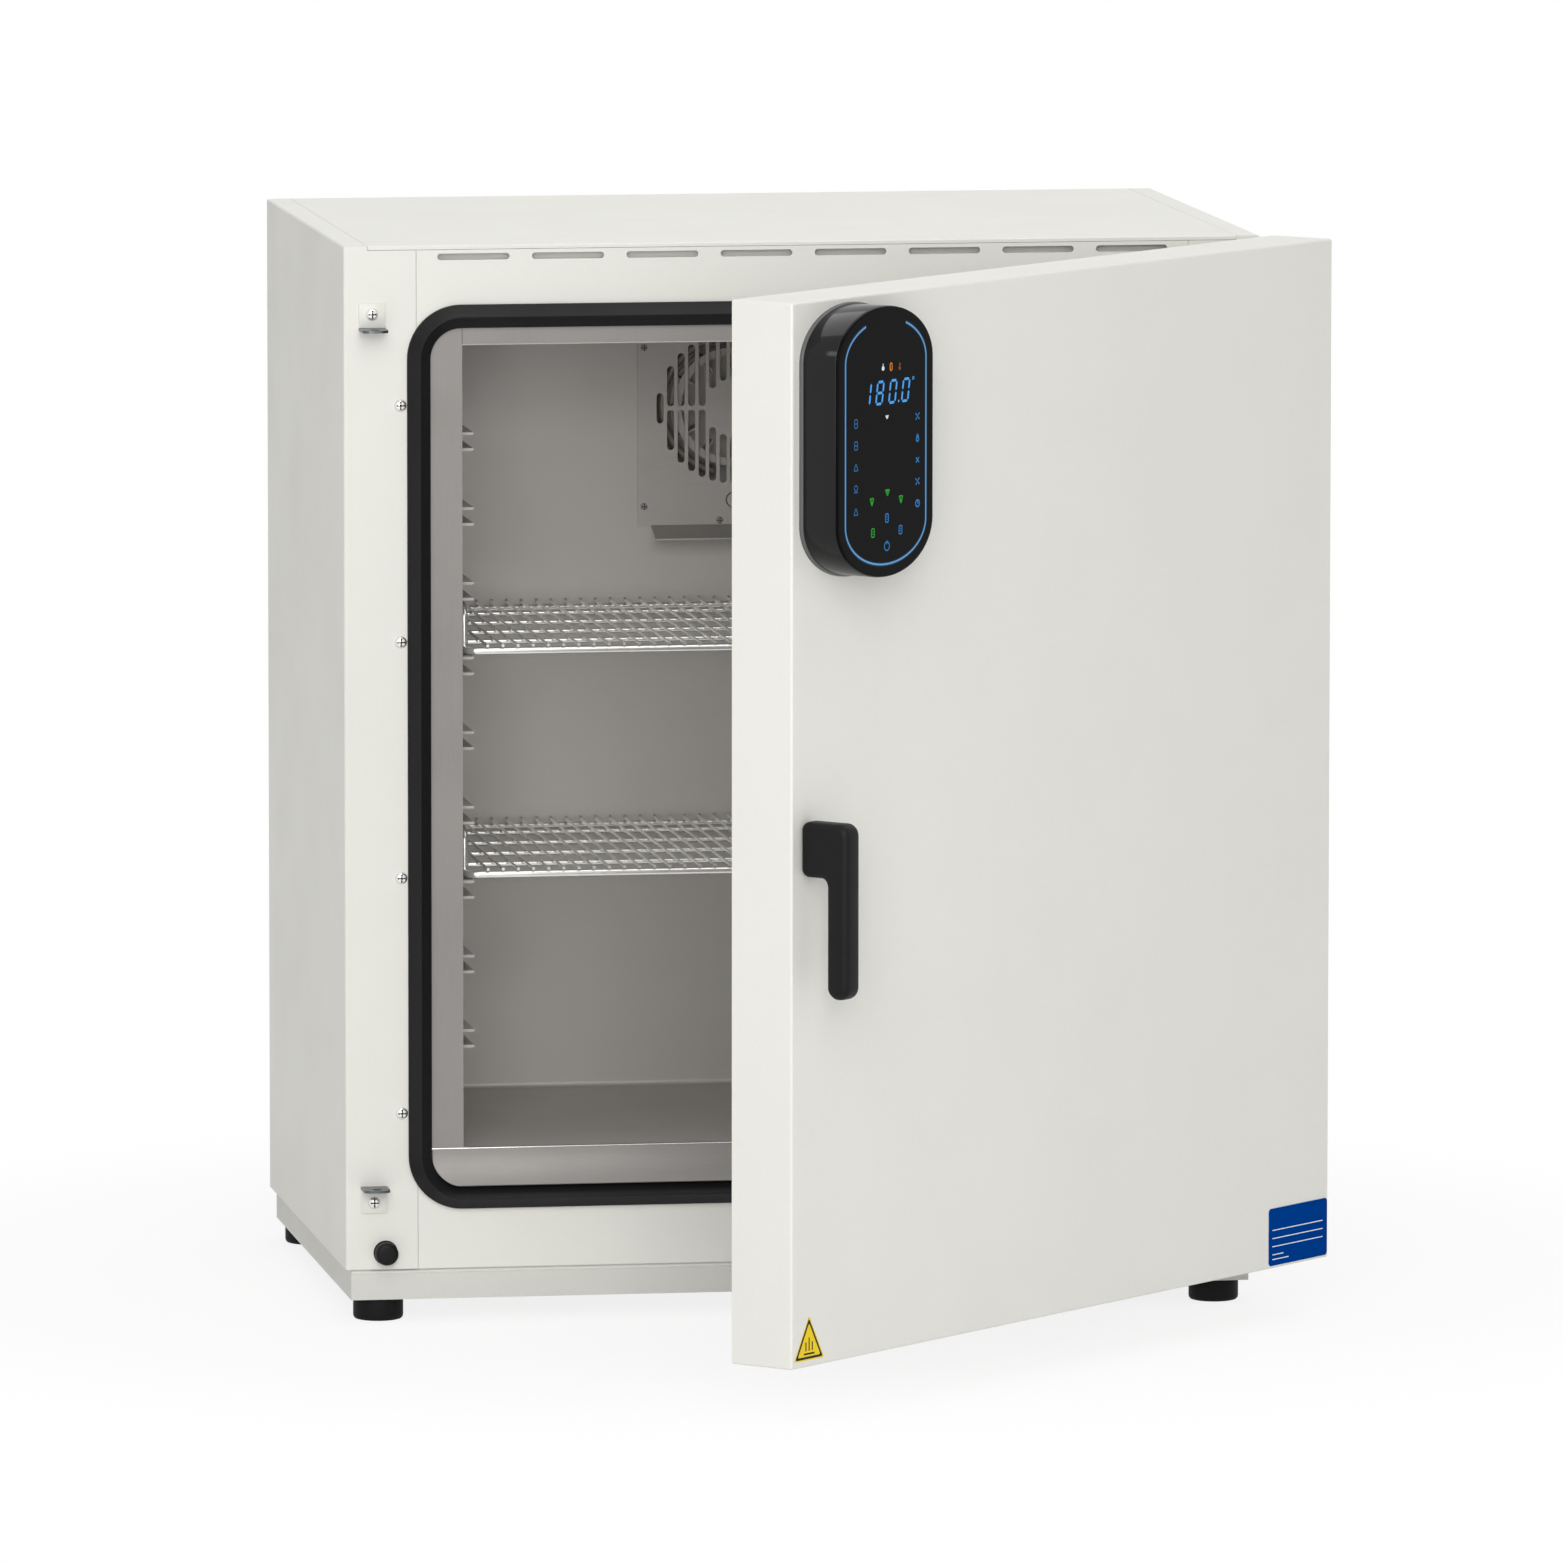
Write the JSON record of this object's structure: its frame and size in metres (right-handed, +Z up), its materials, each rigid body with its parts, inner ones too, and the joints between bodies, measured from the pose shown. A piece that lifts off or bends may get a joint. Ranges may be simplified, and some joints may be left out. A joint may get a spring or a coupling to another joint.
{
  "type": "laboratory oven",
  "caption": "Bench-top laboratory oven with a hinged insulated door, a stainless chamber on ledges with sliding wire shelves, a rear fan, and a lever handle that works lock rods.",
  "frame": {"origin": "on the floor, at the centre of the four feet", "axes": "+X to the right seen from the front, where the door's hinges are; +Y to the rear; +Z up"},
  "size_m": [0.7429, 1.0709, 0.819],
  "materials": {
    "casing_paint": "fine satin powder coat, off-white",
    "door_paint": "fine satin powder coat, off-white",
    "stainless": "fine brushed",
    "galvanised": "dull zinc",
    "chrome_wire": "bright",
    "screw_steel": "plain",
    "black_rubber": "matt",
    "black_gloss": "glossy",
    "black_satin": "satin",
    "grey_plastic": "satin",
    "pod_glass": "glossy, printed from behind",
    "blue_plate": "satin",
    "mineral_wool": "fibrous",
    "circuit_board": "satin",
    "motor_paint": "satin",
    "aluminium": "satin",
    "heater_tube": "heat-stained"
  },
  "bodies": {
    "cabinet": {"left_side_panel": "casing_paint", "right_side_panel": "casing_paint", "top_panel": "casing_paint", "front_frame": "casing_paint", "rear_panel": "galvanised", "rear_panel_screws": "screw_steel", "base_plinth": "casing_paint", "rubber_feet": "black_rubber", "chamber_liner": "stainless", "chamber_sill": "stainless", "door_gasket": "black_rubber", "insulation_jacket": "mineral_wool", "left_shelf_ledges": "stainless", "right_shelf_ledges": "stainless", "fan_cover": "stainless", "fan_cover_screws": "screw_steel", "fan_housing": "stainless", "fan_motor": "motor_paint", "motor_bracket": "galvanised", "heater_element": "heater_tube", "temperature_probe": "stainless", "upper_keeper": "screw_steel", "lower_keeper": "screw_steel", "front_screws": "screw_steel", "service_plates": "galvanised", "door_switch_body": "black_satin", "upper_hinge_bracket": "casing_paint", "lower_hinge_bracket": "casing_paint", "hinge_pins": "screw_steel", "hinge_bracket_screws": "screw_steel", "exhaust_pipe": "stainless", "power_inlet": "black_satin", "power_board": "circuit_board"},
    "exhaust_damper": {"exhaust_damper": "black_satin"},
    "fan": {"fan_wheel": "aluminium", "fan_shaft": "screw_steel"},
    "door_switch": {"door_switch_plunger": "black_satin"},
    "door": {"door_outer_panel": "door_paint", "door_inner_panel": "door_paint", "door_plug": "stainless", "door_insulation": "mineral_wool", "upper_hinge_leaf": "door_paint", "lower_hinge_leaf": "door_paint", "hinge_leaf_screws": "screw_steel", "lock_case": "galvanised", "rod_guides": "black_satin", "pod_base": "grey_plastic", "pod_housing": "black_gloss", "pod_glass": "pod_glass", "pod_board": "circuit_board", "info_plate": "blue_plate"},
    "handle": {"handle_lever": "black_satin", "handle_spindle": "screw_steel", "lock_pinion": "galvanised"},
    "upper_lock_rod": {"upper_lock_rod": "galvanised"},
    "lower_lock_rod": {"lower_lock_rod": "galvanised"},
    "upper_shelf": {"upper_shelf_frame": "chrome_wire", "upper_shelf_grid": "chrome_wire"},
    "lower_shelf": {"lower_shelf_frame": "chrome_wire", "lower_shelf_grid": "chrome_wire"}
  },
  "joints": [
    {"name": "door_hinge", "type": "hinge", "parent": "cabinet", "child": "door", "pos_m": [0.3695, -0.24, 0.43], "axis": [0, 0, 1], "range_deg": [-45.3, 74.7]},
    {"name": "handle_turn", "type": "hinge", "parent": "door", "child": "handle", "pos_m": [-0.08569, -0.7759, 0.423], "axis": [0.7108, -0.7034, 0], "range_deg": [0, 90]},
    {"name": "upper_rod_slide", "type": "slide", "parent": "door", "child": "upper_lock_rod", "axis": [0, 0, 1], "range_m": [0, 0.0126]},
    {"name": "lower_rod_slide", "type": "slide", "parent": "door", "child": "lower_lock_rod", "axis": [0, 0, -1], "range_m": [0, 0.0126]},
    {"name": "upper_shelf_slide", "type": "slide", "parent": "cabinet", "child": "upper_shelf", "axis": [0, -1, 0], "range_m": [0, 0.12]},
    {"name": "lower_shelf_slide", "type": "slide", "parent": "cabinet", "child": "lower_shelf", "axis": [0, -1, 0], "range_m": [0, 0.12]},
    {"name": "fan_spin", "type": "hinge", "parent": "cabinet", "child": "fan", "pos_m": [0, 0.132, 0.6598], "axis": [0, 1, 0], "continuous": true},
    {"name": "door_switch_travel", "type": "slide", "parent": "cabinet", "child": "door_switch", "axis": [0, 1, 0], "range_m": [0, 0.004], "stiffness_N_per_m": 400, "springref_m": -0.002},
    {"name": "exhaust_damper_turn", "type": "hinge", "parent": "cabinet", "child": "exhaust_damper", "pos_m": [0.18, 0.25, 0.69], "axis": [0, 1, 0], "range_deg": [0, 90]}
  ],
  "couplings": [
    {"joint": "upper_rod_slide", "follows": "handle_turn", "m_per_rad": 0.008},
    {"joint": "lower_rod_slide", "follows": "handle_turn", "m_per_rad": 0.008}
  ]
}
